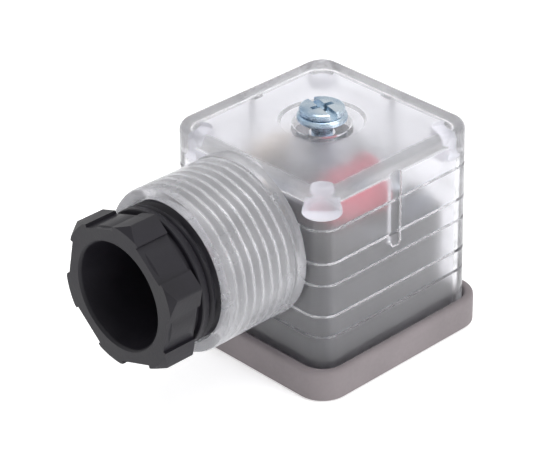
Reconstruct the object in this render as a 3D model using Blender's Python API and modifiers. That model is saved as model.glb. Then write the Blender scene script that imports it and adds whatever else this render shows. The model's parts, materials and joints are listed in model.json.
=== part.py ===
"""Solenoid valve connector: a clear square housing with a side cable gland, over a terminal block.

Frame: millimetre values times MM, +Z up. The origin is on the centre screw's axis, at the gasket's
underside. The cable gland points along -Y. Every sub-part is one closed solid in its own object.
"""

import math

import bmesh
import bpy

MM = 0.001

# Housing, a hollow square cap that is open at the bottom
HOUSING_TOP = 29.76
HOUSING_BASE = 2.3
HALF_TOP = 13.75
HALF_BASE = 13.89
CORNER_R = 3.0
TOP_EDGE_R = 1.2
HALF_INSIDE = 12.35
CEILING = 27.0
BOSS_R = 4.0
BOSS_END = 22.0
DISH_R = 5.6
DISH_DEPTH = 0.4
SEAT_R = 3.6
SEAT_Z = 28.05
SCREW_HOLE_R = 1.7
RIB_WIDTH = 2.0
RIB_REACH = 0.95
RIB_END = 16.6
CORNER_RIB_WIDTH = 1.2
CORNER_RIB_TIP = 9.9
CORNER_RIB_END = 23.5

# Cable neck and gland, turned about an axis that runs along -Y at this height
NECK_Z = 18.75
NECK_R = 10.93
NECK_FRONT = 26.73
NECK_BACK = 13.0
NECK_BORE_R = 9.28
BORE_FLOOR = 14.3
CABLE_OPENING_R = 6.0
GROMMET_R = 9.0
GROMMET_HOLE_R = 4.0
GROMMET_BACK = 14.6
GROMMET_FRONT = 19.9
SLIP_RING_BACK = 20.2
SLIP_RING_FRONT = 21.0
SLIP_RING_R = 8.9
NUT_BACK = 21.3
NUT_SHANK_R = 9.2
NUT_BORE_R = 7.04
GROOVE_BACK = 29.4
HEX_BACK = 30.2
GROOVE_R = 8.5
HEX_FRONT = 35.02
HEX_CORNER_R = 10.6
HEX_TURN = 18.5
HEX_DRUM_R = 8.75
LUG_GAP = 5.2
LUG_CHAMFER_R = 1.3
LUG_CHAMFER = 0.9
LUG_ROOT_DEPTH = 0.6

# Gasket tray
GASKET_HALF = 15.25
GASKET_CORNER_R = 4.0
GASKET_HEIGHT = 4.4
GASKET_FLOOR = 2.0
LIP_HALF_INSIDE = 14.25
BLADE_WINDOW = (3.0, 8.0)
GASKET_HOLE_R = 2.3

# Terminal block
FLANGE_HALF = 12.0
FLANGE_TOP = 5.8
BLOCK_HALF = 11.0
BLOCK_TOP = 13.0
BLOCK_HOLE_R = 2.0
RIM_CORNER_R = 2.0
RIM_HALF_INSIDE = 10.5
RIM_TOP = 17.6
WIRE_GAP_HALF = 6.5
COLLAR_R = 3.4
COLLAR_TOP = 17.4
POST_R = 1.2
POST_TOP = 18.6
POST_PLACES = ((7.0, -7.0), (-7.0, -7.0), (-7.0, 7.0), (6.0, 6.0))

# Contacts: receptacles for flat blades, 18 mm apart, with the earth on the third side
CONTACT_REACH = 9.0
CONTACT_TURNS = {"1": 180.0, "2": 0.0, "earth": 90.0}
RECEPTACLE = (2.4, 7.0)
RECEPTACLE_BOTTOM = 2.7
BLADE_SLOT = (0.9, 6.5)
BLADE_SLOT_TOP = 10.2
CLAMP_REACH = 8.2
CLAMP_HEAD = (3.6, 6.4)
CLAMP_HEAD_BOTTOM = 13.3
CLAMP_HEAD_TOP = 15.3
PLATE_BOTTOM = 15.6
PLATE_TOP = 16.1
CLAMP_SCREW_R = 1.2
CLAMP_SCREW_TIP = 13.7
CLAMP_SCREW_HEAD_R = 2.0
CLAMP_SCREW_HEAD = (16.4, 17.6)
CLAMP_SLOT_HALF = 0.4
CLAMP_SLOT_DEPTH = 0.7
CLAMP_SLOT_TURN = 35.0
THREAD_CLEARANCE = 0.08
PLATE_CLEARANCE = 0.25
POCKET_CLEARANCE = 0.6

# Circuit board and what is on it
BOARD_HALF = 8.9
BOARD_BOTTOM = 18.9
BOARD_TOP = 19.9
BOARD_SLOT_HALF = 5.0
ACCESS_R = 2.9
LED_X = 8.2
LED_Z = 23.4
LED_R = 2.5
LED_BASE_R = 2.9
LED_BASE_Y = 0.2
LED_LENGTH = 8.6
LEAD_R = 0.3
VARISTOR_CENTRE = (8.9, 7.0, 16.7)
VARISTOR_R = 3.3
VARISTOR_THICKNESS = 2.6
VARISTOR_PITCH = 3.0
NOTCH_CLEARANCE = 0.3
LEAD_HEIGHT = 0.3
LED_LEAD_OFFSET = 1.27
RESISTOR_R = 1.15
RESISTOR_LENGTH = 6.2
RESISTOR_PLACE = (-7.2, -2.0)
DIODE_R = 1.0
DIODE_LENGTH = 4.2
DIODE_PLACE = (-3.0, 7.0)
BODY_GAP = 0.35
BEND_GAP = 1.1

# Centre screw, resting on its tip
SCREW_R = 1.45
SCREW_HEAD = (30.9, 31.8)
SCREW_HEAD_R = 2.95
SCREW_SLOT = (0.9, 0.65)
SCREW_SLOT_TURN = -14.0
WASHER = (30.0, 30.85)
WASHER_R = 3.27
WASHER_HOLE_R = 1.55
RETAINER = (20.4, 21.6)
RETAINER_R = 3.0

ROUND = 48
SMALL_ROUND = 24


# ---------------------------------------------------------------- scene and collections

def clear_scene():
    for old in list(bpy.data.objects):
        bpy.data.objects.remove(old, do_unlink=True)


def new_collection(name):
    collection = bpy.data.collections.new(name)
    bpy.context.scene.collection.children.link(collection)
    return collection


def principled(name, colour, roughness, metallic=0.0, alpha=1.0):
    material = bpy.data.materials.new(name)
    material.use_nodes = True
    shader = material.node_tree.nodes["Principled BSDF"]
    shader.inputs["Base Color"].default_value = (*colour, 1.0)
    shader.inputs["Roughness"].default_value = roughness
    shader.inputs["Metallic"].default_value = metallic
    shader.inputs["Alpha"].default_value = alpha
    material.diffuse_color = (*colour, alpha)
    return material


# ---------------------------------------------------------------- shapes, in millimetres

def finish_mesh(bm, name, collection):
    bmesh.ops.recalc_face_normals(bm, faces=bm.faces)
    bmesh.ops.scale(bm, vec=(MM, MM, MM), verts=bm.verts)
    mesh = bpy.data.meshes.new(name)
    bm.to_mesh(mesh)
    bm.free()
    obj = bpy.data.objects.new(name, mesh)
    collection.objects.link(obj)
    return obj


def box(name, collection, low, high):
    """A block between two corners."""
    bm = bmesh.new()
    bmesh.ops.create_cube(bm, size=1.0)
    size = [high[i] - low[i] for i in range(3)]
    middle = [(high[i] + low[i]) / 2 for i in range(3)]
    bmesh.ops.scale(bm, vec=size, verts=bm.verts)
    bmesh.ops.translate(bm, vec=middle, verts=bm.verts)
    return finish_mesh(bm, name, collection)


def square_block(name, collection, half, bottom, top, corner, segments=4, half_top=None, edge=0.0):
    """A square block with round upright corners, an optional taper and an optional round top edge."""
    half_top = half if half_top is None else half_top
    bm = bmesh.new()
    bmesh.ops.create_cube(bm, size=2.0)
    for vert in bm.verts:
        is_top = vert.co.z > 0
        reach = half_top if is_top else half
        vert.co.x *= reach
        vert.co.y *= reach
        vert.co.z = top if is_top else bottom
    upright = [e for e in bm.edges if abs(e.verts[0].co.z - e.verts[1].co.z) > 0.5 * (top - bottom)]
    bmesh.ops.bevel(bm, geom=upright, offset=corner, segments=segments, profile=0.5, affect="EDGES")
    if edge:
        rim = [e for e in bm.edges if min(v.co.z for v in e.verts) > top - 0.001]
        bmesh.ops.bevel(bm, geom=rim, offset=edge, segments=3, profile=0.5, affect="EDGES")
    return finish_mesh(bm, name, collection)


def rod(name, collection, radius, bottom, top, steps=SMALL_ROUND, place=(0.0, 0.0), turn=0.0):
    """An upright cylinder, or a prism when it has few steps."""
    bm = bmesh.new()
    bmesh.ops.create_cone(bm, cap_ends=True, segments=steps, radius1=radius, radius2=radius,
                          depth=top - bottom)
    bmesh.ops.translate(bm, vec=(0.0, 0.0, (top + bottom) / 2), verts=bm.verts)
    obj = finish_mesh(bm, name, collection)
    obj.location = (place[0] * MM, place[1] * MM, 0.0)
    obj.rotation_euler.z = math.radians(turn)
    return obj


def turned(name, collection, profile, steps=ROUND):
    """A turned solid: the closed profile of (radius, height) goes down its outer side first."""
    mesh = bpy.data.meshes.new(name)
    points = [(radius * MM, 0.0, height * MM) for radius, height in profile]
    edges = [(i, (i + 1) % len(points)) for i in range(len(points))]
    if profile[0][0] == 0.0 and profile[-1][0] == 0.0:
        edges.pop()
    mesh.from_pydata(points, edges, [])
    obj = bpy.data.objects.new(name, mesh)
    collection.objects.link(obj)
    screw = obj.modifiers.new("Turn", "SCREW")
    screw.steps = steps
    screw.render_steps = steps
    screw.use_merge_vertices = True
    screw.merge_threshold = 0.00001
    return obj


def along_neck(obj):
    """Lay a piece that was made upright along the neck: its +Z then points along -Y."""
    obj.location = (0.0, 0.0, NECK_Z * MM)
    obj.rotation_euler = (math.pi / 2, 0.0, 0.0)
    return obj


def combine(obj, tool, operation):
    tool.hide_render = True
    tool.display_type = "WIRE"
    modifier = obj.modifiers.new(operation.title(), "BOOLEAN")
    modifier.operation = operation
    modifier.object = tool
    modifier.solver = "EXACT"


def cut(obj, tool):
    combine(obj, tool, "DIFFERENCE")


def join(obj, tool):
    combine(obj, tool, "UNION")


def wire(name, collection, points, radius):
    """A bent wire along points given in millimetres."""
    curve = bpy.data.curves.new(name, "CURVE")
    curve.dimensions = "3D"
    curve.bevel_depth = radius * MM
    curve.bevel_resolution = 2
    curve.use_fill_caps = True
    spline = curve.splines.new("POLY")
    spline.points.add(len(points) - 1)
    for point, target in zip(points, spline.points):
        target.co = (point[0] * MM, point[1] * MM, point[2] * MM, 1.0)
    obj = bpy.data.objects.new(name, curve)
    collection.objects.link(obj)
    return obj


def wire_solid(name, collection, points, radius):
    """The same wire as a welded mesh, which a Boolean can join."""
    obj = wire(name + "_path", collection, points, radius)
    bpy.context.view_layer.update()
    evaluated = obj.evaluated_get(bpy.context.evaluated_depsgraph_get())
    mesh = bpy.data.meshes.new_from_object(evaluated)
    bpy.data.objects.remove(obj, do_unlink=True)
    bm = bmesh.new()
    bm.from_mesh(mesh)
    bmesh.ops.remove_doubles(bm, verts=bm.verts, dist=0.000001)
    bmesh.ops.recalc_face_normals(bm, faces=bm.faces)
    bm.to_mesh(mesh)
    bm.free()
    solid = bpy.data.objects.new(name, mesh)
    collection.objects.link(solid)
    return solid


def set_material(obj, material):
    obj.data.materials.clear()
    obj.data.materials.append(material)


# ---------------------------------------------------------------- housing

def make_housing(parts, tools):
    housing = square_block("housing", parts, HALF_BASE, HOUSING_BASE, HOUSING_TOP, CORNER_R,
                           half_top=HALF_TOP, edge=TOP_EDGE_R)
    neck = rod("neck_tool", tools, NECK_R, NECK_BACK, NECK_FRONT, ROUND)
    join(housing, along_neck(neck))
    cut(housing, square_block("cavity_tool", tools, HALF_INSIDE, HOUSING_BASE - 1.0, CEILING, 1.6))
    join(housing, rod("boss_tool", tools, BOSS_R, BOSS_END, CEILING + 0.5))
    for turn in (0.0, 90.0, 180.0):
        rib = box(f"rib_tool_{turn:.0f}", tools, (HALF_INSIDE - RIB_REACH, -RIB_WIDTH / 2, RIB_END),
                  (HALF_INSIDE + 0.5, RIB_WIDTH / 2, CEILING + 0.5))
        rib.rotation_euler.z = math.radians(turn)
        join(housing, rib)
    for turn in (45.0, 135.0, 225.0, 315.0):
        rib = box(f"corner_rib_tool_{turn:.0f}", tools,
                  (CORNER_RIB_TIP * math.sqrt(2), -CORNER_RIB_WIDTH / 2, CORNER_RIB_END),
                  ((HALF_INSIDE + 0.2) * math.sqrt(2), CORNER_RIB_WIDTH / 2, CEILING + 0.5))
        rib.rotation_euler.z = math.radians(turn)
        join(housing, rib)
    bore = turned("neck_bore_tool", tools, [
        (0.0, NECK_FRONT + 1.0), (NECK_BORE_R, NECK_FRONT + 1.0), (NECK_BORE_R, BORE_FLOOR),
        (CABLE_OPENING_R, BORE_FLOOR), (CABLE_OPENING_R, HALF_INSIDE - 1.0),
        (0.0, HALF_INSIDE - 1.0)])
    cut(housing, along_neck(bore))
    cut(housing, turned("screw_seat_tool", tools, [
        (0.0, HOUSING_TOP + 1.0), (DISH_R, HOUSING_TOP + 1.0), (DISH_R, HOUSING_TOP - DISH_DEPTH),
        (SEAT_R, HOUSING_TOP - DISH_DEPTH), (SEAT_R, SEAT_Z), (SCREW_HOLE_R, SEAT_Z),
        (SCREW_HOLE_R, BOSS_END - 1.0), (0.0, BOSS_END - 1.0)], SMALL_ROUND))
    return housing


# ---------------------------------------------------------------- cable gland

def ring(name, parts, radius, hole, back, front):
    profile = [(radius, front), (radius, back), (hole, back), (hole, front)]
    return along_neck(turned(name, parts, profile))


def make_gland_nut(parts, tools):
    nut = turned("gland_nut", parts, [
        (HEX_DRUM_R, HEX_FRONT), (HEX_DRUM_R, HEX_BACK), (GROOVE_R, HEX_BACK), (GROOVE_R, GROOVE_BACK),
        (NUT_SHANK_R, GROOVE_BACK), (NUT_SHANK_R, NUT_BACK), (NUT_BORE_R, NUT_BACK),
        (NUT_BORE_R, HEX_FRONT)])
    along_neck(nut)
    sleeve = turned("lug_tool", tools, [
        (HEX_CORNER_R - LUG_CHAMFER_R, HEX_FRONT - 0.02), (HEX_CORNER_R, HEX_FRONT - LUG_CHAMFER),
        (HEX_CORNER_R, HEX_BACK + 0.02), (HEX_DRUM_R - LUG_ROOT_DEPTH, HEX_BACK + 0.02),
        (HEX_DRUM_R - LUG_ROOT_DEPTH, HEX_FRONT - 0.02)])
    prism = rod("hex_tool", tools, HEX_CORNER_R, HEX_BACK - 1.0, HEX_FRONT + 1.0, 6, turn=HEX_TURN)
    combine(sleeve, prism, "INTERSECT")
    for side in range(6):
        angle = HEX_TURN + 30.0 + 60.0 * side
        gap = box(f"lug_gap_tool_{side}", tools, (HEX_DRUM_R - 0.05, -LUG_GAP / 2, HEX_BACK - 1.0),
                  (HEX_CORNER_R + 1.0, LUG_GAP / 2, HEX_FRONT + 1.0))
        gap.rotation_euler.z = math.radians(angle)
        cut(sleeve, gap)
    join(nut, along_neck(sleeve_as_mesh(sleeve, tools)))
    return nut


def sleeve_as_mesh(obj, tools):
    """Bake an upright piece with its modifiers into a plain mesh, so that it can be laid over."""
    bpy.context.view_layer.update()
    evaluated = obj.evaluated_get(bpy.context.evaluated_depsgraph_get())
    mesh = bpy.data.meshes.new_from_object(evaluated)
    name = obj.name
    bpy.data.objects.remove(obj, do_unlink=True)
    baked = bpy.data.objects.new(name, mesh)
    tools.objects.link(baked)
    return baked


# ---------------------------------------------------------------- gasket and terminal block

def make_gasket(parts, tools):
    gasket = square_block("gasket", parts, GASKET_HALF, 0.0, GASKET_HEIGHT, GASKET_CORNER_R, 6)
    cut(gasket, square_block("tray_tool", tools, LIP_HALF_INSIDE, GASKET_FLOOR, GASKET_HEIGHT + 1.0,
                             3.2, 6))
    cut(gasket, rod("gasket_hole_tool", tools, GASKET_HOLE_R, -1.0, GASKET_FLOOR + 1.0))
    for key, turn in CONTACT_TURNS.items():
        cut(gasket, contact_box(f"gasket_window_tool_{key}", tools, BLADE_WINDOW, -1.0,
                                GASKET_FLOOR + 1.0, turn))
    return gasket


def contact_box(name, collection, size, bottom, top, turn, reach=CONTACT_REACH):
    """A block at a contact's place: size is its thickness away from the axis and its width."""
    obj = box(name, collection, (reach - size[0] / 2, -size[1] / 2, bottom),
              (reach + size[0] / 2, size[1] / 2, top))
    obj.rotation_euler.z = math.radians(turn)
    return obj


def clamp_place(turn):
    """The axis of the clamp screw on the contact at this turn."""
    angle = math.radians(turn)
    return (CLAMP_REACH * math.cos(angle), CLAMP_REACH * math.sin(angle))


def make_terminal_block(parts, tools):
    block = square_block("terminal_block", parts, FLANGE_HALF, HOUSING_BASE, FLANGE_TOP, 1.4, 3)
    join(block, square_block("block_body_tool", tools, BLOCK_HALF, HOUSING_BASE + 0.5, RIM_TOP,
                             RIM_CORNER_R, 4))
    cut(block, square_block("rim_tool", tools, RIM_HALF_INSIDE, BLOCK_TOP, RIM_TOP + 1.0, 1.6, 3))
    cut(block, box("wire_gap_tool", tools, (-WIRE_GAP_HALF, -BLOCK_HALF - 1.0, BLOCK_TOP),
                   (WIRE_GAP_HALF, -BLOCK_HALF + 1.0, RIM_TOP + 1.0)))
    join(block, rod("collar_tool", tools, COLLAR_R, BLOCK_TOP - 1.0, COLLAR_TOP))
    for index, place in enumerate(POST_PLACES):
        join(block, rod(f"post_tool_{index}", tools, POST_R, BLOCK_TOP - 1.0, POST_TOP, 12, place))
    cut(block, rod("block_hole_tool", tools, BLOCK_HOLE_R, 0.0, COLLAR_TOP + 1.0))
    pocket = (RECEPTACLE[0] + POCKET_CLEARANCE, RECEPTACLE[1] + POCKET_CLEARANCE)
    for key, turn in CONTACT_TURNS.items():
        cut(block, contact_box(f"pocket_tool_{key}", tools, pocket, 0.0, BLOCK_TOP + 1.0, turn))
    return block


def make_contact(key, turn, parts, tools):
    contact = contact_box(f"contact_{key}", parts, RECEPTACLE, RECEPTACLE_BOTTOM,
                          CLAMP_HEAD_BOTTOM + 0.3, turn)
    join(contact, contact_box(f"clamp_head_tool_{key}", tools, CLAMP_HEAD, CLAMP_HEAD_BOTTOM,
                              CLAMP_HEAD_TOP, turn, CLAMP_REACH))
    cut(contact, contact_box(f"blade_slot_tool_{key}", tools, BLADE_SLOT, 0.0, BLADE_SLOT_TOP, turn))
    cut(contact, rod(f"thread_tool_{key}", tools, CLAMP_SCREW_R + THREAD_CLEARANCE, CLAMP_SCREW_TIP - 0.3,
                     CLAMP_HEAD_TOP + 1.0, place=clamp_place(turn)))
    return contact


def make_clamp(key, turn, parts, tools):
    """The wire clamp on a contact: a square plate and the slotted screw that presses it down."""
    place = clamp_place(turn)
    plate = contact_box(f"clamp_plate_{key}", parts, CLAMP_HEAD, PLATE_BOTTOM, PLATE_TOP, turn,
                        CLAMP_REACH)
    cut(plate, rod(f"plate_hole_tool_{key}", tools, CLAMP_SCREW_R + PLATE_CLEARANCE, PLATE_BOTTOM - 1.0,
                   PLATE_TOP + 1.0, place=place))
    head_bottom, head_top = CLAMP_SCREW_HEAD
    screw = turned(f"clamp_screw_{key}", parts, [
        (0.0, head_top), (CLAMP_SCREW_HEAD_R, head_top), (CLAMP_SCREW_HEAD_R, head_bottom),
        (CLAMP_SCREW_R, head_bottom), (CLAMP_SCREW_R, CLAMP_SCREW_TIP), (0.0, CLAMP_SCREW_TIP)],
        SMALL_ROUND)
    screw.location = (place[0] * MM, place[1] * MM, 0.0)
    slot = box(f"driver_slot_tool_{key}", tools,
               (-CLAMP_SLOT_HALF, -2.0 * CLAMP_SCREW_HEAD_R, head_top - CLAMP_SLOT_DEPTH),
               (CLAMP_SLOT_HALF, 2.0 * CLAMP_SCREW_HEAD_R, head_top + 1.0))
    slot.location = screw.location
    slot.rotation_euler.z = math.radians(CLAMP_SLOT_TURN + turn)
    cut(screw, slot)
    return plate, screw


# ---------------------------------------------------------------- circuit board

def make_board(parts, tools):
    board = square_block("circuit_board", parts, BOARD_HALF, BOARD_BOTTOM, BOARD_TOP, 1.0, 2)
    cut(board, rod("board_hole_tool", tools, BOARD_SLOT_HALF, BOARD_BOTTOM - 1.0, BOARD_TOP + 1.0))
    half_slot = BOARD_SLOT_HALF - 0.03
    cut(board, box("board_slot_tool", tools, (-half_slot, -BOARD_HALF - 1.0, BOARD_BOTTOM - 1.0),
                   (half_slot, 0.5, BOARD_TOP + 1.0)))
    for key, turn in CONTACT_TURNS.items():
        cut(board, rod(f"access_tool_{key}", tools, ACCESS_R, BOARD_BOTTOM - 1.0, BOARD_TOP + 1.0,
                       place=clamp_place(turn)))
    x, y, _ = VARISTOR_CENTRE
    room = VARISTOR_R + NOTCH_CLEARANCE
    cut(board, box("varistor_notch_tool", tools,
                   (x - VARISTOR_THICKNESS / 2 - NOTCH_CLEARANCE, y - room, BOARD_BOTTOM - 1.0),
                   (x + room, y + room, BOARD_TOP + 1.0)))
    return board


def make_led(parts):
    tip = LED_LENGTH - LED_R
    dome = [(LED_R * math.sin(math.radians(a)), tip + LED_R * math.cos(math.radians(a)))
            for a in (0.0, 22.5, 45.0, 67.5, 90.0)]
    led = turned("indicator_led", parts, dome + [
        (LED_R, 1.0), (LED_BASE_R, 1.0), (LED_BASE_R, 0.0), (0.0, 0.0)], SMALL_ROUND)
    led.location = (LED_X * MM, LED_BASE_Y * MM, LED_Z * MM)
    led.rotation_euler = (math.pi / 2, 0.0, 0.0)
    return led


def make_led_lead(name, x, parts):
    """A lead from the lamp's base, back and then down onto the board."""
    bend_y = LED_BASE_Y + 3.2
    return wire(name, parts, [
        (x, LED_BASE_Y + 0.3, LED_Z), (x, bend_y - 0.6, LED_Z), (x, bend_y, LED_Z - 0.6),
        (x, bend_y, BOARD_TOP + LEAD_HEIGHT)], LEAD_R)


def make_axial(name, parts, tools, radius, length, place, turn):
    """A resistor or diode body lying on the board, with its two bent leads."""
    height = BOARD_TOP + BODY_GAP + radius
    half = length / 2
    bend = half + BEND_GAP
    body = turned(name, parts, [
        (0.0, half), (radius * 0.7, half), (radius, half - 0.5), (radius, -half + 0.5),
        (radius * 0.7, -half), (0.0, -half)], 16)
    body.location = (place[0] * MM, place[1] * MM, height * MM)
    body.rotation_euler = (math.pi / 2, 0.0, math.radians(turn))
    drop = BOARD_TOP + LEAD_HEIGHT - height
    lead = wire_solid(f"{name}_lead_tool", tools, [
        (bend, 0.0, drop), (bend, 0.0, -0.3), (bend - 0.3, 0.0, 0.0), (-bend + 0.3, 0.0, 0.0),
        (-bend, 0.0, -0.3), (-bend, 0.0, drop)], LEAD_R)
    lead.location = body.location
    lead.rotation_euler.z = math.radians(turn + 90.0)
    join(body, lead)
    return body


def make_varistor(parts, tools):
    x, y, z = VARISTOR_CENTRE
    half = VARISTOR_THICKNESS / 2
    disc = turned("varistor", parts, [
        (0.0, half), (VARISTOR_R - 0.9, half), (VARISTOR_R, half - 0.8), (VARISTOR_R, -half + 0.8),
        (VARISTOR_R - 0.9, -half), (0.0, -half)], SMALL_ROUND)
    disc.location = (x * MM, y * MM, z * MM)
    disc.rotation_euler = (0.0, math.pi / 2, 0.0)
    over_board = BOARD_TOP + LEAD_HEIGHT + LEAD_R
    for index, offset in enumerate((-VARISTOR_PITCH / 2, VARISTOR_PITCH / 2)):
        lead = wire_solid(f"varistor_lead_tool_{index}", tools, [
            (x, y + offset, z + 1.0), (x, y + offset, over_board - 0.4),
            (x - 0.4, y + offset, over_board), (x - 3.0, y + offset, over_board)], LEAD_R)
        join(disc, lead)
    return disc


# ---------------------------------------------------------------- centre screw

def make_centre_screw(parts, tools):
    bottom, top = SCREW_HEAD
    screw = turned("centre_screw", parts, [
        (0.0, top), (SCREW_HEAD_R - 0.3, top), (SCREW_HEAD_R, top - 0.3), (SCREW_HEAD_R, bottom),
        (SCREW_R, bottom), (SCREW_R, 0.4), (SCREW_R - 0.4, 0.0), (0.0, 0.0)], SMALL_ROUND)
    width, depth = SCREW_SLOT
    slot = box("screw_slot_tool", tools, (-4.0, -width / 2, top - depth), (4.0, width / 2, top + 1.0))
    slot.rotation_euler.z = math.radians(SCREW_SLOT_TURN)
    cut(screw, slot)
    return screw


def upright_ring(name, parts, radius, hole, span):
    bottom, top = span
    return turned(name, parts, [(radius, top), (radius, bottom), (hole, bottom), (hole, top)],
                  SMALL_ROUND)


# ---------------------------------------------------------------- assembly

def main():
    clear_scene()
    parts = new_collection("valve_connector")
    tools = new_collection("cutters")
    clear = principled("clear_plastic", (0.90, 0.91, 0.93), 0.25, alpha=0.35)
    black = principled("black_plastic", (0.035, 0.036, 0.04), 0.45)
    seal = principled("grey_rubber", (0.33, 0.29, 0.29), 0.6)
    dark_rubber = principled("black_rubber", (0.02, 0.02, 0.02), 0.7)
    brass = principled("brass", (0.72, 0.52, 0.22), 0.3, 1.0)
    zinc = principled("zinc_steel", (0.66, 0.72, 0.78), 0.25, 1.0)
    laminate = principled("board_laminate", (0.05, 0.06, 0.06), 0.5)
    red = principled("red_lens", (0.75, 0.02, 0.04), 0.2)
    grey_coat = principled("grey_coating", (0.16, 0.17, 0.20), 0.5)
    beige_coat = principled("beige_coating", (0.62, 0.48, 0.32), 0.5)

    set_material(make_housing(parts, tools), clear)
    set_material(make_gasket(parts, tools), seal)
    set_material(make_terminal_block(parts, tools), black)
    for key, turn in CONTACT_TURNS.items():
        set_material(make_contact(key, turn, parts, tools), brass)
        plate, screw = make_clamp(key, turn, parts, tools)
        set_material(plate, zinc)
        set_material(screw, zinc)
    set_material(make_board(parts, tools), laminate)
    set_material(make_led(parts), red)
    for index, offset in enumerate((-LED_LEAD_OFFSET, LED_LEAD_OFFSET)):
        set_material(make_led_lead(f"led_lead_{index + 1}", LED_X + offset, parts), zinc)
    set_material(make_axial("series_resistor", parts, tools, RESISTOR_R, RESISTOR_LENGTH,
                            RESISTOR_PLACE, 0.0), beige_coat)
    set_material(make_axial("rectifier_diode", parts, tools, DIODE_R, DIODE_LENGTH,
                            DIODE_PLACE, 90.0), black)
    set_material(make_varistor(parts, tools), grey_coat)
    set_material(make_centre_screw(parts, tools), zinc)
    set_material(upright_ring("screw_washer", parts, WASHER_R, WASHER_HOLE_R, WASHER), zinc)
    set_material(upright_ring("screw_retainer", parts, RETAINER_R, WASHER_HOLE_R, RETAINER), dark_rubber)
    set_material(make_gland_nut(parts, tools), black)
    set_material(ring("slip_ring", parts, SLIP_RING_R, NUT_BORE_R, SLIP_RING_BACK, SLIP_RING_FRONT),
                 black)
    set_material(ring("grommet", parts, GROMMET_R, GROMMET_HOLE_R, GROMMET_BACK, GROMMET_FRONT),
                 dark_rubber)


main()
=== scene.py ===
"""The looks of a clear solenoid valve connector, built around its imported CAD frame."""

import json
import math

import bmesh
import bpy
from mathutils import Matrix, Vector


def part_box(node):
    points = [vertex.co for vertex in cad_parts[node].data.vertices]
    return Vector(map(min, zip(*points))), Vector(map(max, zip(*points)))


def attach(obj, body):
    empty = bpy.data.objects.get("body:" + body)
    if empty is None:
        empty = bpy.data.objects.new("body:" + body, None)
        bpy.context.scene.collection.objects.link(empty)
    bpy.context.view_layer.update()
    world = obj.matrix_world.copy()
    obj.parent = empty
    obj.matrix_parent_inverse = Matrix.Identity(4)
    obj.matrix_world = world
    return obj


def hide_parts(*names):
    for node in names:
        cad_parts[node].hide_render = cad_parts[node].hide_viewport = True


MM = 0.001

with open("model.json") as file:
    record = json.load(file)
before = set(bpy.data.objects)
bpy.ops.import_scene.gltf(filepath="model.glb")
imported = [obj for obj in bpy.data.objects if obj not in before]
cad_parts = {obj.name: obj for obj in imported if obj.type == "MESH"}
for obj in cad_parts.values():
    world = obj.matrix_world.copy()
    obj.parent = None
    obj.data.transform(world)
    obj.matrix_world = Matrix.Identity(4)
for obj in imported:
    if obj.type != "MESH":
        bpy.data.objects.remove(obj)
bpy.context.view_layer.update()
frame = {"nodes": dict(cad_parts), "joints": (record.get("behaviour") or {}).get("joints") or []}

COLLECTION = bpy.context.scene.collection


# ---------------------------------------------------------------- sizes, in millimetres

def box_mm(node):
    low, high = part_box(node)
    return [value / MM for value in low], [value / MM for value in high]


HOUSING_LOW, HOUSING_HIGH = box_mm("housing")
_, GASKET_HIGH = box_mm("gasket")
NUT_LOW, NUT_HIGH = box_mm("gland_nut")
_, SCREW_HIGH = box_mm("centre_screw")
WASHER_LOW, WASHER_HIGH = box_mm("screw_washer")
LED_LOW, LED_HIGH = box_mm("indicator_led")
GROMMET_LOW, GROMMET_HIGH = box_mm("grommet")
SLIP_LOW, SLIP_HIGH = box_mm("slip_ring")

HALF_BASE = HOUSING_HIGH[0]
HALF_TOP = HALF_BASE - 0.14
TOP = HOUSING_HIGH[2]
BASE = HOUSING_LOW[2]
HALF_INSIDE = HALF_TOP - 1.4
CEILING = TOP - 2.76
CORNER_R = 3.0
TOP_EDGE_R = 1.2
GROOVE_HEIGHTS = (24.0, 19.3, 16.2, 11.7, 8.7)
GROOVE_HALF_WIDTH = 0.22
GROOVE_DEPTH = 0.26

NECK_Z = next(j["pos_m"][2] for j in frame["joints"] if j["name"] == "gland_nut_spin") / MM
NECK_FRONT = -HOUSING_LOW[1]
NECK_R = 10.93
THREAD_PITCH = 1.411
THREAD_DEPTH = 0.62
THREAD_ROOT_R = 8.72
BORE_FLOOR = 14.3
THREAD_MOUTH_R = 9.34
LUG_PLACE = 10.9
LUG_R = 2.0
LUG_END = 24.8
FACE_MARGIN = 0.1
POLISHED, FROSTED, MILKY, SATIN = range(4)

PLASTIC_IOR = 1.49
BLACK_SPECULAR = 0.28
CLEAR_SHADOW_TINT = (0.84, 0.84, 0.86)
SMOOTH_ANGLE = 35.0


# ---------------------------------------------------------------- node materials

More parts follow.
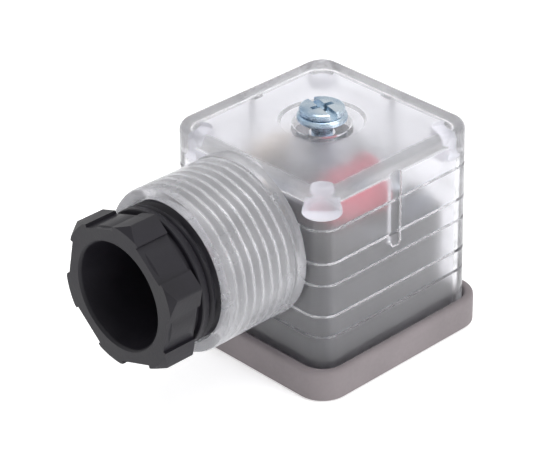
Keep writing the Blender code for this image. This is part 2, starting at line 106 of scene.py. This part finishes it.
class Nodes:
    """A small helper that adds and links shader nodes."""

    def __init__(self, name):
        self.material = bpy.data.materials.new(name)
        self.material.use_nodes = True
        self.tree = self.material.node_tree
        self.shader = self.tree.nodes["Principled BSDF"]
        self.output = self.tree.nodes["Material Output"]

    def add(self, kind, **settings):
        node = self.tree.nodes.new(kind)
        for key, value in settings.items():
            if key in node.inputs:
                node.inputs[key].default_value = value
            else:
                setattr(node, key, value)
        return node

    def link(self, source, target):
        self.tree.links.new(source, target)

    def place(self):
        return self.add("ShaderNodeTexCoord").outputs["Object"]

    def noise(self, scale, detail=4.0, roughness=0.55, stretch=None):
        node = self.add("ShaderNodeTexNoise", Scale=scale, Detail=detail, Roughness=roughness)
        source = self.place()
        if stretch is not None:
            mapping = self.add("ShaderNodeMapping")
            mapping.inputs["Scale"].default_value = stretch
            self.link(source, mapping.inputs["Vector"])
            source = mapping.outputs["Vector"]
        self.link(source, node.inputs["Vector"])
        return node.outputs["Fac"]

    def ramp(self, source, stops):
        node = self.add("ShaderNodeValToRGB")
        elements = node.color_ramp.elements
        while len(elements) < len(stops):
            elements.new(0.5)
        for element, (position, colour) in zip(elements, stops):
            element.position = position
            element.color = (*colour, 1.0)
        self.link(source, node.inputs["Fac"])
        return node.outputs["Color"]

    def span(self, source, low, high, from_low=0.3, from_high=0.7):
        node = self.add("ShaderNodeMapRange")
        node.inputs["From Min"].default_value = from_low
        node.inputs["From Max"].default_value = from_high
        node.inputs["To Min"].default_value = low
        node.inputs["To Max"].default_value = high
        self.link(source, node.inputs["Value"])
        return node.outputs["Result"]

    def bump(self, height, strength, distance, before=None):
        node = self.add("ShaderNodeBump", Strength=strength, Distance=distance)
        self.link(height, node.inputs["Height"])
        if before is not None:
            self.link(before, node.inputs["Normal"])
        return node.outputs["Normal"]

    def set(self, **values):
        for key, value in values.items():
            self.shader.inputs[key.replace("_", " ")].default_value = value


def with_clear_shadow(nodes, shader_output, tint):
    """Light goes straight through a clear piece on its way to what is behind it."""
    path = nodes.add("ShaderNodeLightPath")
    through = nodes.add("ShaderNodeBsdfTransparent", Color=(*tint, 1.0))
    mix = nodes.add("ShaderNodeMixShader")
    nodes.link(path.outputs["Is Shadow Ray"], mix.inputs["Fac"])
    nodes.link(shader_output, mix.inputs[1])
    nodes.link(through.outputs["BSDF"], mix.inputs[2])
    nodes.link(mix.outputs["Shader"], nodes.output.inputs["Surface"])


def clear_plastic(name, roughness, milk_share, grain):
    """Moulded polycarbonate in one of its four finishes, from polished to milky."""
    nodes = Nodes(name)
    nodes.set(Base_Color=(0.94, 0.94, 0.97, 1.0), IOR=PLASTIC_IOR)
    nodes.shader.inputs["Transmission Weight"].default_value = 1.0
    cloud = nodes.noise(260.0, 4.0)
    nodes.link(nodes.span(cloud, roughness - 0.05, roughness + 0.06), nodes.shader.inputs["Roughness"])
    fine = nodes.noise(2200.0, 3.0)
    normal = nodes.bump(fine, grain, 0.00006)
    nodes.link(nodes.bump(cloud, 0.12, 0.0003, normal), nodes.shader.inputs["Normal"])
    milk = nodes.add("ShaderNodeBsdfDiffuse", Color=(0.80, 0.80, 0.84, 1.0))
    blend = nodes.add("ShaderNodeMixShader", Fac=milk_share)
    nodes.link(nodes.shader.outputs["BSDF"], blend.inputs[1])
    nodes.link(milk.outputs["BSDF"], blend.inputs[2])
    with_clear_shadow(nodes, blend.outputs["Shader"], CLEAR_SHADOW_TINT)
    return nodes.material


def black_plastic(name, colour, roughness=0.42):
    nodes = Nodes(name)
    large = nodes.noise(150.0, 4.0)
    fine = nodes.noise(2600.0, 3.0)
    dark = tuple(c * 0.8 for c in colour)
    light = tuple(min(1.0, c * 1.35) for c in colour)
    nodes.link(nodes.ramp(large, [(0.3, dark), (0.7, light)]), nodes.shader.inputs["Base Color"])
    nodes.link(nodes.span(large, roughness - 0.06, roughness + 0.08), nodes.shader.inputs["Roughness"])
    normal = nodes.bump(fine, 0.35, 0.00006)
    nodes.link(nodes.bump(large, 0.15, 0.0002, normal), nodes.shader.inputs["Normal"])
    nodes.set(Specular_IOR_Level=BLACK_SPECULAR)
    return nodes.material


def rubber(name, colour, roughness=0.62):
    nodes = Nodes(name)
    large = nodes.noise(110.0, 5.0)
    fine = nodes.noise(1900.0, 4.0)
    dark = tuple(c * 0.9 for c in colour)
    light = tuple(min(1.0, c * 1.1) for c in colour)
    nodes.link(nodes.ramp(large, [(0.3, dark), (0.7, light)]), nodes.shader.inputs["Base Color"])
    nodes.link(nodes.span(fine, roughness - 0.08, roughness + 0.1), nodes.shader.inputs["Roughness"])
    normal = nodes.bump(fine, 0.3, 0.00005)
    nodes.link(nodes.bump(large, 0.1, 0.0003, normal), nodes.shader.inputs["Normal"])
    return nodes.material


def metal(name, light, dark, roughness=0.25, scale=900.0):
    nodes = Nodes(name)
    nodes.set(Metallic=1.0)
    cloud = nodes.noise(scale * 0.3, 4.0)
    fine = nodes.noise(scale * 2.0, 3.0, stretch=(1.0, 1.0, 6.0))
    nodes.link(nodes.ramp(cloud, [(0.3, dark), (0.65, light)]), nodes.shader.inputs["Base Color"])
    nodes.link(nodes.span(fine, roughness - 0.08, roughness + 0.14), nodes.shader.inputs["Roughness"])
    nodes.link(nodes.bump(fine, 0.25, 0.00004), nodes.shader.inputs["Normal"])
    return nodes.material


def red_lens():
    nodes = Nodes("red_lens")
    nodes.set(Base_Color=(0.66, 0.06, 0.12, 1.0), IOR=1.5)
    nodes.shader.inputs["Transmission Weight"].default_value = 0.35
    cloud = nodes.noise(300.0)
    nodes.link(nodes.span(cloud, 0.12, 0.22), nodes.shader.inputs["Roughness"])
    with_clear_shadow(nodes, nodes.shader.outputs["BSDF"], (0.9, 0.25, 0.25))
    return nodes.material


def board_material():
    nodes = Nodes("board_laminate")
    weave = nodes.noise(900.0, 2.0, stretch=(1.0, 3.0, 1.0))
    cloud = nodes.noise(120.0)
    nodes.link(nodes.ramp(cloud, [(0.3, (0.035, 0.040, 0.040)), (0.7, (0.055, 0.062, 0.060))]),
               nodes.shader.inputs["Base Color"])
    nodes.link(nodes.span(weave, 0.3, 0.45), nodes.shader.inputs["Roughness"])
    nodes.link(nodes.bump(weave, 0.2, 0.00005), nodes.shader.inputs["Normal"])
    return nodes.material


# ---------------------------------------------------------------- mesh helpers, in millimetres

def new_object(name, bm, smooth_angle=SMOOTH_ANGLE):
    bmesh.ops.recalc_face_normals(bm, faces=bm.faces)
    bmesh.ops.scale(bm, vec=(MM, MM, MM), verts=bm.verts)
    mesh = bpy.data.meshes.new(name)
    bm.to_mesh(mesh)
    bm.free()
    obj = bpy.data.objects.new(name, mesh)
    COLLECTION.objects.link(obj)
    shade(mesh, smooth_angle)
    return obj


def shade(mesh, angle):
    mesh.shade_smooth()
    mesh.set_sharp_from_angle(angle=math.radians(angle))


def rounded_ring(half, corner, steps=7):
    """Points of a square outline with round corners, anticlockwise."""
    points = []
    for quarter in range(4):
        turn = math.radians(90.0 * quarter)
        middle = Vector((half - corner, half - corner))
        for step in range(steps + 1):
            angle = math.radians(90.0) * step / steps
            point = middle + Vector((math.cos(angle), math.sin(angle))) * corner
            points.append(Matrix.Rotation(turn, 2) @ point)
    return points


def stacked(name, levels, steps=7, smooth_angle=SMOOTH_ANGLE):
    """A solid through rounded squares: levels are (height, half width, corner radius)."""
    bm = bmesh.new()
    rings = []
    for height, half, corner in levels:
        rings.append([bm.verts.new((p.x, p.y, height)) for p in rounded_ring(half, corner, steps)])
    count = len(rings[0])
    for low, high in zip(rings, rings[1:]):
        for i in range(count):
            j = (i + 1) % count
            bm.faces.new((low[i], low[j], high[j], high[i]))
    bm.faces.new(list(reversed(rings[0])))
    bm.faces.new(rings[-1])
    return new_object(name, bm, smooth_angle)


def turned(name, profile, steps=96, smooth_angle=SMOOTH_ANGLE):
    """A turned solid round +Z from a closed profile of (radius, height)."""
    bm = bmesh.new()
    rings = []
    for radius, height in profile:
        if radius == 0.0:
            rings.append([bm.verts.new((0.0, 0.0, height))])
            continue
        rings.append([
            bm.verts.new((radius * math.cos(math.tau * i / steps),
                          radius * math.sin(math.tau * i / steps), height))
            for i in range(steps)])
    closed = profile[0][0] != 0.0
    pairs = list(zip(rings, rings[1:])) + ([(rings[-1], rings[0])] if closed else [])
    for first, second in pairs:
        for i in range(steps):
            j = (i + 1) % steps
            corners = [first[i % len(first)], first[j % len(first)],
                       second[j % len(second)], second[i % len(second)]]
            unique = list(dict.fromkeys(corners))
            if len(unique) > 2:
                bm.faces.new(unique)
    return new_object(name, bm, smooth_angle)


def thread_wave(phase):
    """A truncated 60 degree thread: 0 at the root and 1 at the crest, over one pitch."""
    position = phase % 1.0
    if position > 0.5:
        position = 1.0 - position
    return min(1.0, max(0.0, (position - 0.08) / 0.34))


def thread_cylinder(name, root, depth, low, high, fade_low=0.0, fade_high=0.0, around=96,
                    per_pitch=10):
    """A solid cylinder round +Z with a right-handed helical thread on it."""
    rows = int(round((high - low) / THREAD_PITCH * per_pitch))
    bm = bmesh.new()
    rings = []
    for row in range(rows + 1):
        height = low + (high - low) * row / rows
        ring = []
        for i in range(around):
            share = i / around
            rise = thread_wave(height / THREAD_PITCH - share) * depth
            if fade_low:
                rise *= min(1.0, max(0.0, (height - low) / fade_low))
            if fade_high:
                rise *= min(1.0, max(0.0, (high - height) / fade_high))
            radius = root + rise
            ring.append(bm.verts.new((radius * math.cos(math.tau * share),
                                      radius * math.sin(math.tau * share), height)))
        rings.append(ring)
    for lower, upper in zip(rings, rings[1:]):
        for i in range(around):
            j = (i + 1) % around
            bm.faces.new((lower[i], lower[j], upper[j], upper[i]))
    bm.faces.new(list(reversed(rings[0])))
    bm.faces.new(rings[-1])
    return new_object(name, bm, 50.0)


def block(name, low, high):
    bm = bmesh.new()
    bmesh.ops.create_cube(bm, size=1.0)
    bmesh.ops.scale(bm, vec=[high[i] - low[i] for i in range(3)], verts=bm.verts)
    bmesh.ops.translate(bm, vec=[(high[i] + low[i]) / 2 for i in range(3)], verts=bm.verts)
    return new_object(name, bm)


def turn(obj, degrees, axis="Z"):
    obj.data.transform(Matrix.Rotation(math.radians(degrees), 4, axis))
    return obj


def move(obj, x=0.0, y=0.0, z=0.0):
    obj.data.transform(Matrix.Translation((x * MM, y * MM, z * MM)))
    return obj


def along_neck(obj):
    """Lay an upright piece along the neck: its +Z then points along -Y."""
    turn(obj, 90.0, "X")
    return move(obj, z=NECK_Z)


def apply_modifiers(obj, smooth_angle=SMOOTH_ANGLE):
    bpy.context.view_layer.update()
    evaluated = obj.evaluated_get(bpy.context.evaluated_depsgraph_get())
    mesh = bpy.data.meshes.new_from_object(evaluated)
    obj.modifiers.clear()
    obj.data = mesh
    shade(mesh, smooth_angle)
    return obj


def combine(obj, steps, smooth_angle=SMOOTH_ANGLE):
    """Runs a list of (operation, tool) Booleans, then removes the tools."""
    for operation, tool in steps:
        modifier = obj.modifiers.new(operation, "BOOLEAN")
        modifier.operation = operation
        modifier.object = tool
        modifier.solver = "EXACT"
    apply_modifiers(obj, smooth_angle)
    for _, tool in steps:
        bpy.data.objects.remove(tool, do_unlink=True)
    return obj


def dress(obj, materials, body, slot, *nodes):
    obj.data.materials.clear()
    for material in materials:
        obj.data.materials.append(material)
    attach(obj, body)
    if nodes:
        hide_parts(*nodes)
    return obj


# ---------------------------------------------------------------- housing

def housing_levels():
    """Heights and half widths up the outside, with a V groove at each groove height."""
    def half(height):
        return HALF_BASE + (HALF_TOP - HALF_BASE) * (height - BASE) / (TOP - BASE)

    levels = [(BASE, half(BASE) - 0.25, CORNER_R - 0.25), (BASE + 0.25, half(BASE), CORNER_R)]
    for height in sorted(GROOVE_HEIGHTS):
        for offset, depth in ((-GROOVE_HALF_WIDTH, 0.0), (-0.03, GROOVE_DEPTH), (0.03, GROOVE_DEPTH),
                              (GROOVE_HALF_WIDTH, 0.0)):
            levels.append((height + offset, half(height) - depth, CORNER_R - depth))
    for step in range(7):
        angle = math.radians(90.0) * step / 6
        inset = TOP_EDGE_R * (1.0 - math.cos(angle))
        levels.append((TOP - TOP_EDGE_R + TOP_EDGE_R * math.sin(angle), half(TOP) - inset,
                       CORNER_R - inset))
    return levels


def frost_inside(housing):
    """Frosts the cavity and the thread, milks the corner lugs and leaves the neck satin."""
    for face in housing.data.polygons:
        middle = face.center / MM
        in_cavity = (max(abs(middle.x), abs(middle.y)) < HALF_INSIDE + FACE_MARGIN
                     and middle.z < CEILING + FACE_MARGIN)
        from_axis = math.hypot(middle.x, middle.z - NECK_Z)
        in_neck = middle.y < -HALF_BASE - FACE_MARGIN
        in_thread = (in_neck and middle.y > -NECK_FRONT + FACE_MARGIN
                     and from_axis < THREAD_MOUTH_R + FACE_MARGIN)
        from_lug = math.hypot(abs(middle.x) - LUG_PLACE, abs(middle.y) - LUG_PLACE)
        if from_lug < LUG_R + FACE_MARGIN and LUG_END - FACE_MARGIN < middle.z < CEILING:
            face.material_index = MILKY
        elif in_cavity or in_thread:
            face.material_index = FROSTED
        elif in_neck:
            face.material_index = SATIN


def make_housing():
    housing = stacked("housing_shell", housing_levels(), 9)
    front = NECK_FRONT
    neck = turned("neck_tool", [
        (0.0, 13.2), (NECK_R + 0.06, 13.2), (NECK_R + 0.06, 15.3), (NECK_R - 0.12, 15.5),
        (NECK_R - 0.05, 16.0), (NECK_R, front - 0.5), (NECK_R - 0.15, front - 0.15),
        (NECK_R - 0.5, front), (0.0, front)], 128)
    cavity = stacked("cavity_tool", [
        (BASE - 1.0, HALF_INSIDE, 1.7), (CEILING - 0.5, HALF_INSIDE - 0.05, 1.7),
        (CEILING - 0.15, HALF_INSIDE - 0.18, 1.5), (CEILING, HALF_INSIDE - 0.55, 1.2)], 6)
    boss = turned("boss_tool", [(0.0, 22.0), (3.7, 22.0), (4.0, 22.3), (4.05, CEILING + 0.5),
                                (0.0, CEILING + 0.5)], 64)
    steps = [("UNION", along_neck(neck)), ("DIFFERENCE", cavity), ("UNION", boss)]
    for angle in (0.0, 90.0, 180.0):
        rib = stacked("rib_tool", [(16.6, 0.55, 0.45), (17.1, 0.95, 0.5), (CEILING + 0.6, 1.0, 0.5)], 4)
        move(rib, x=HALF_INSIDE + 0.05)
        steps.append(("UNION", turn(rib, angle)))
    for angle in (45.0, 135.0, 225.0, 315.0):
        web = block("web_tool", (9.9 * math.sqrt(2), -0.6, LUG_END + 0.3),
                    ((HALF_INSIDE + 0.3) * math.sqrt(2), 0.6, CEILING + 0.6))
        steps.append(("UNION", turn(web, angle)))
        lug = turned("lug_tool", [
            (0.0, LUG_END), (LUG_R - 0.5, LUG_END), (LUG_R - 0.12, LUG_END + 0.2),
            (LUG_R, LUG_END + 0.6), (LUG_R - 0.1, CEILING - 0.8), (LUG_R - 0.5, CEILING + 0.2),
            (0.0, CEILING + 0.2)], 32)
        move(lug, x=LUG_PLACE * math.sqrt(2))
        steps.append(("UNION", turn(lug, angle)))
    thread = thread_cylinder("thread_tool", THREAD_ROOT_R, THREAD_DEPTH, BORE_FLOOR + 0.2, front - 1.5)
    steps.append(("DIFFERENCE", along_neck(thread)))
    mouth = turned("mouth_tool", [
        (0.0, front - 1.9), (THREAD_MOUTH_R, front - 1.9), (THREAD_MOUTH_R, front - 0.35),
        (9.7, front + 0.5), (0.0, front + 0.5)], 96)
    steps.append(("DIFFERENCE", along_neck(mouth)))
    opening = turned("opening_tool", [
        (0.0, 10.0), (6.0, 10.0), (6.0, BORE_FLOOR), (9.0, BORE_FLOOR + 0.1),
        (9.0, BORE_FLOOR + 0.6), (0.0, BORE_FLOOR + 0.6)], 64)
    steps.append(("DIFFERENCE", along_neck(opening)))
    seat = turned("seat_tool", [
        (0.0, 21.0), (1.7, 21.0), (1.7, 28.05), (3.6, 28.05), (3.65, TOP - 0.55), (3.9, TOP - 0.36),
        (5.3, TOP - 0.3), (5.75, TOP + 0.05), (5.9, TOP + 1.0), (0.0, TOP + 1.0)], 64)
    steps.append(("DIFFERENCE", seat))
    return combine(housing, steps, 28.0)


# ---------------------------------------------------------------- cable gland

HEX_TURN = 18.5
HEX_CORNER_R = 10.6
GLAND_BORE_R = 7.04


def make_gland_nut():
    front = -NUT_LOW[1]
    back = -NUT_HIGH[1]
    hex_back = front - 4.82
    groove_back = hex_back - 0.8
    shank = thread_cylinder("gland_nut_body", 8.5, 0.68, back, groove_back - 0.9, 0.7, 0.0)
    along_neck(shank)
    collar = turned("collar_tool", [
        (0.0, groove_back - 1.2), (9.0, groove_back - 1.2), (9.2, groove_back - 0.9),
        (9.2, groove_back - 0.12), (9.08, groove_back), (8.5, groove_back + 0.05),
        (8.5, hex_back + 0.2), (0.0, hex_back + 0.2)], 96)
    prism = turned("hex_body_tool", [(0.0, hex_back), (HEX_CORNER_R - 0.1, hex_back),
                                     (HEX_CORNER_R, hex_back + 0.12), (HEX_CORNER_R, front - 0.85),
                                     (HEX_CORNER_R - 0.8, front - 0.1), (HEX_CORNER_R - 0.92, front),
                                     (0.0, front)], 96)
    hexagon = turned("hex_cut_tool", [(0.0, hex_back - 1.0), (HEX_CORNER_R, hex_back - 1.0),
                                      (HEX_CORNER_R, front + 1.0), (0.0, front + 1.0)], 6)
    turn(hexagon, HEX_TURN)
    bevel_upright(hexagon, 0.18)
    steps = [("INTERSECT", hexagon)]
    for side in range(6):
        gap = stacked("gap_tool", [(0.0, 2.62, 0.3), (3.0, 2.62, 0.3)], 4)
        turn(gap, 90.0, "Y")
        gap.data.transform(Matrix.Diagonal((1.0, 1.0, 3.0, 1.0)))
        move(gap, x=8.78, z=(hex_back + front) / 2 - 1.6)
        turn(gap, HEX_TURN + 30.0 + 60.0 * side)
        steps.append(("DIFFERENCE", gap))
    combine(prism, steps)
    rim = turned("rim_tool", [(0.0, hex_back + 0.4), (8.95, hex_back + 0.4), (8.95, front - 0.75),
                              (8.55, front - 0.2), (8.4, front - 0.06), (0.0, front - 0.06)], 96)
    bore = turned("bore_tool", [
        (0.0, back - 1.0), (GLAND_BORE_R, back - 1.0), (GLAND_BORE_R, front - 0.45),
        (GLAND_BORE_R + 0.12, front - 0.15), (GLAND_BORE_R + 0.4, front + 0.05),
        (GLAND_BORE_R + 0.5, front + 1.0), (0.0, front + 1.0)], 96)
    combine(shank, [("UNION", along_neck(collar)), ("UNION", along_neck(prism)),
                    ("UNION", along_neck(rim)), ("DIFFERENCE", along_neck(bore))])
    return shank


def bevel_upright(obj, width):
    bm = bmesh.new()
    bm.from_mesh(obj.data)
    tall = [e for e in bm.edges if abs(e.verts[0].co.z - e.verts[1].co.z) > 0.001]
    bmesh.ops.bevel(bm, geom=tall, offset=width * MM, segments=3, profile=0.5, affect="EDGES")
    bm.to_mesh(obj.data)
    bm.free()


def make_grommet():
    back = -GROMMET_HIGH[1]
    front = -GROMMET_LOW[1]
    return along_neck(turned("grommet_seal", [
        (4.0, back + 0.4), (4.5, back), (8.2, back), (8.7, back + 0.6), (8.55, back + 2.0),
        (8.62, front - 1.2), (8.3, front), (7.3, front), (6.3, front - 0.9), (5.4, front - 0.9),
        (5.0, front - 0.2), (4.3, front - 0.2), (4.0, front - 0.6)], 96))


def make_slip_ring():
    back = -SLIP_HIGH[1]
    front = -SLIP_LOW[1]
    return along_neck(turned("slip_washer", [
        (7.14, back + 0.1), (7.24, back), (8.5, back), (8.6, back + 0.1),
        (8.6, front - 0.1), (8.5, front), (7.24, front), (7.14, front - 0.1)], 96))


# ---------------------------------------------------------------- gasket

def make_gasket():
    half = GASKET_HIGH[0]
    high = GASKET_HIGH[2]
    outer = [(0.0, half - 0.3, 3.7), (0.3, half, 4.0), (high - 0.7, half, 4.0)]
    for step in range(1, 5):
        angle = math.radians(90.0) * step / 4
        inset = 0.5 * (1.0 - math.cos(angle))
        outer.append((high - 0.5 + 0.5 * math.sin(angle), half - inset, 4.0 - inset))
    tray = [(2.0, 13.95, 2.9), (3.7, 14.0, 2.9), (high - 0.25, 14.08, 3.0), (high - 0.08, 14.2, 3.1),
            (high, 14.4, 3.3), (high + 0.5, 14.9, 3.6)]
    gasket = stacked("gasket_tray", outer, 9)
    steps = [("DIFFERENCE", stacked("tray_tool", tray, 9))]
    hole = turned("hole_tool", [(0.0, -1.0), (2.3, -1.0), (2.3, 3.0), (0.0, 3.0)], 48)
    steps.append(("DIFFERENCE", hole))
    for angle in (0.0, 90.0, 180.0):
        window = block("window_tool", (7.5, -4.0, -1.0), (10.5, 4.0, 3.0))
        steps.append(("DIFFERENCE", turn(window, angle)))
    return combine(gasket, steps)


# ---------------------------------------------------------------- centre screw and washer

SLOT_TURN = -14.0


def make_screw():
    top = SCREW_HIGH[2]
    under = WASHER_HIGH[2] + 0.05
    radius = SCREW_HIGH[0]
    screw = turned("screw_body", [
        (0.0, 0.0), (1.05, 0.0), (1.4, 0.4), (1.4, under), (radius - 0.1, under),
        (radius, under + 0.12), (radius, top - 0.34), (radius - 0.08, top - 0.16),
        (radius - 0.3, top - 0.03), (radius - 0.45, top), (0.0, top)], 64)
    slot = block("slot_tool", (-4.0, -0.52, top - 0.80), (4.0, 0.52, top + 1.0))
    steps = [("DIFFERENCE", turn(slot, SLOT_TURN))]
    for angle in (0.0, 90.0):
        wing = block("wing_tool", (-1.9, -0.42, top - 1.3), (1.9, 0.42, top + 1.0))
        taper(wing, 0.62)
        steps.append(("DIFFERENCE", turn(wing, SLOT_TURN + angle)))
    return combine(screw, steps)


def taper(obj, share):
    """Narrows a block's lower end, for a driver recess."""
    low = min(v.co.z for v in obj.data.vertices)
    for vert in obj.data.vertices:
        if vert.co.z < low + 0.00001:
            vert.co.x *= share
            vert.co.y *= share


def make_washer():
    low = WASHER_LOW[2]
    high = WASHER_HIGH[2]
    radius = WASHER_HIGH[0]
    return turned("washer_ring", [
        (1.6, low), (radius - 0.12, low), (radius, low + 0.12), (radius, high - 0.35),
        (radius - 0.12, high - 0.12), (radius - 0.3, high), (1.6, high)], 64)


# ---------------------------------------------------------------- camera, lights and floor

CAMERA_PLACE = (199.0, -199.1, 178.0)
CAMERA_AZIMUTH = 46.37
CAMERA_ELEVATION = 30.17
CAMERA_ROLL = -0.8
CAMERA_LENS = 166.9

WORLD_STRENGTH = 0.76
FLOOR_GLOW = 0.45
TOP_POWER = 1.4
RIGHT_POWER = 1.0
LEFT_POWER = 0.12
LIGHT_TARGET = (0.0, 0.0, 0.015)
FLOOR_HALF = 3000.0
FLOOR_DROP = 0.00002


def make_camera():
    data = bpy.data.cameras.new("camera")
    data.lens = CAMERA_LENS
    data.sensor_width = 36.0
    data.clip_start = 0.01
    camera = bpy.data.objects.new("camera", data)
    COLLECTION.objects.link(camera)
    azimuth, elevation, roll = (math.radians(a) for a in (CAMERA_AZIMUTH, CAMERA_ELEVATION, CAMERA_ROLL))
    right = Vector((math.cos(azimuth), math.sin(azimuth), 0.0))
    back = Vector((math.sin(azimuth) * math.cos(elevation), -math.cos(azimuth) * math.cos(elevation),
                   math.sin(elevation)))
    up = back.cross(right)
    rolled_right = right * math.cos(roll) + up * math.sin(roll)
    rolled_up = up * math.cos(roll) - right * math.sin(roll)
    rotation = Matrix((rolled_right, rolled_up, back)).transposed()
    camera.matrix_world = Matrix.Translation(Vector(CAMERA_PLACE) * MM) @ rotation.to_4x4()
    bpy.context.scene.camera = camera


def add_area_light(name, place, size, power):
    data = bpy.data.lights.new(name, "AREA")
    data.shape = "SQUARE"
    data.size = size
    data.energy = power
    light = bpy.data.objects.new(name, data)
    COLLECTION.objects.link(light)
    light.location = place
    towards = Vector(LIGHT_TARGET) - Vector(place)
    light.rotation_euler = towards.to_track_quat("-Z", "Y").to_euler()


def make_stage():
    bm = bmesh.new()
    bmesh.ops.create_grid(bm, x_segments=1, y_segments=1, size=FLOOR_HALF)
    floor = new_object("floor", bm)
    floor.location.z = -FLOOR_DROP
    nodes = Nodes("pale_floor")
    nodes.set(Base_Color=(0.93, 0.93, 0.93, 1.0), Roughness=0.7, Emission_Strength=FLOOR_GLOW)
    nodes.set(Emission_Color=(1.0, 1.0, 1.0, 1.0))
    floor.data.materials.append(nodes.material)
    world = bpy.data.worlds.new("studio")
    world.use_nodes = True
    tree = world.node_tree
    background = tree.nodes["Background"]
    background.inputs["Strength"].default_value = WORLD_STRENGTH
    background.inputs["Color"].default_value = (1.0, 1.0, 1.0, 1.0)
    backdrop = tree.nodes.new("ShaderNodeBackground")
    backdrop.inputs["Color"].default_value = (1.0, 1.0, 1.0, 1.0)
    path = tree.nodes.new("ShaderNodeLightPath")
    mix = tree.nodes.new("ShaderNodeMixShader")
    tree.links.new(path.outputs["Is Camera Ray"], mix.inputs["Fac"])
    tree.links.new(background.outputs["Background"], mix.inputs[1])
    tree.links.new(backdrop.outputs["Background"], mix.inputs[2])
    tree.links.new(mix.outputs["Shader"], tree.nodes["World Output"].inputs["Surface"])
    bpy.context.scene.world = world
    add_area_light("top_light", (0.06, 0.10, 0.60), 0.50, TOP_POWER)
    add_area_light("right_light", (0.55, 0.12, 0.28), 0.40, RIGHT_POWER)
    add_area_light("left_light", (-0.45, -0.15, 0.35), 0.30, LEFT_POWER)
    bpy.context.scene.view_settings.view_transform = "Standard"


# ---------------------------------------------------------------- assembly

def paint_cad_nodes():
    nodes = frame["nodes"]
    block_plastic = black_plastic("block_plastic", (0.014, 0.013, 0.017), 0.5)
    brass = metal("brass_contacts", (0.80, 0.60, 0.28), (0.62, 0.43, 0.18), 0.28)
    zinc = metal("zinc_small_parts", (0.72, 0.76, 0.80), (0.55, 0.60, 0.66), 0.26)
    for name, obj in nodes.items():
        if name.startswith("contact_"):
            material = brass
        elif name.startswith(("clamp_", "led_lead")):
            material = zinc
        elif name == "circuit_board":
            material = board_material()
        elif name == "series_resistor":
            material = rubber("resistor_lacquer", (0.62, 0.47, 0.30), 0.4)
        elif name == "varistor":
            material = rubber("varistor_coating", (0.10, 0.11, 0.14), 0.45)
        elif name == "screw_retainer":
            material = rubber("retainer_rubber", (0.03, 0.03, 0.03), 0.6)
        elif name in ("terminal_block", "rectifier_diode"):
            material = block_plastic
        else:
            continue
        obj.data.materials.clear()
        obj.data.materials.append(material)
        shade(obj.data, SMOOTH_ANGLE)


def make_led():
    bottom = -LED_HIGH[1]
    length = LED_HIGH[1] - LED_LOW[1]
    base = (LED_HIGH[0] - LED_LOW[0]) / 2
    radius = base - 0.4
    dome = [(radius * math.cos(math.radians(a)), length - radius + radius * math.sin(math.radians(a)))
            for a in range(0, 90, 10)]
    flange = [(0.0, 0.0), (base - 0.1, 0.0), (base, 0.1), (base, 0.9), (base - 0.1, 1.0),
              (radius, 1.05)]
    led = turned("lamp_lens", flange + dome + [(0.0, length)], 48)
    turn(led, 90.0, "X")
    return move(led, x=(LED_LOW[0] + LED_HIGH[0]) / 2, y=-bottom, z=(LED_LOW[2] + LED_HIGH[2]) / 2)


def main():
    make_camera()
    make_stage()
    black = black_plastic("gland_plastic", (0.0105, 0.0095, 0.0135), 0.46)
    ring_black = black_plastic("ring_plastic", (0.010, 0.010, 0.011), 0.5)
    seal_black = rubber("grommet_rubber", (0.008, 0.008, 0.009), 0.7)
    seal_grey = rubber("gasket_rubber", (0.205, 0.180, 0.188), 0.62)
    zinc = metal("screw_zinc", (0.66, 0.75, 0.82), (0.30, 0.42, 0.56), 0.20)
    polished = clear_plastic("polished_polycarbonate", 0.18, 0.03, 0.14)
    frosted = clear_plastic("frosted_polycarbonate", 0.38, 0.07, 0.28)
    milky = clear_plastic("milky_polycarbonate", 0.45, 0.62, 0.20)
    satin = clear_plastic("satin_polycarbonate", 0.24, 0.22, 0.14)
    housing = dress(make_housing(), [polished, frosted, milky, satin], "cap", "clear_plastic", "housing")
    frost_inside(housing)
    dress(make_gland_nut(), [black], "gland_nut", "black_plastic", "gland_nut")
    dress(make_slip_ring(), [ring_black], "gland_slide", "black_plastic", "slip_ring")
    dress(make_grommet(), [seal_black], "cap", "black_rubber", "grommet")
    dress(make_gasket(), [seal_grey], "base", "grey_rubber", "gasket")
    dress(make_screw(), [zinc], "centre_screw", "zinc_steel", "centre_screw")
    dress(make_washer(), [zinc], "screw_carrier", "zinc_steel", "screw_washer")
    dress(make_led(), [red_lens()], "base", "red_lens", "indicator_led")
    paint_cad_nodes()


main()
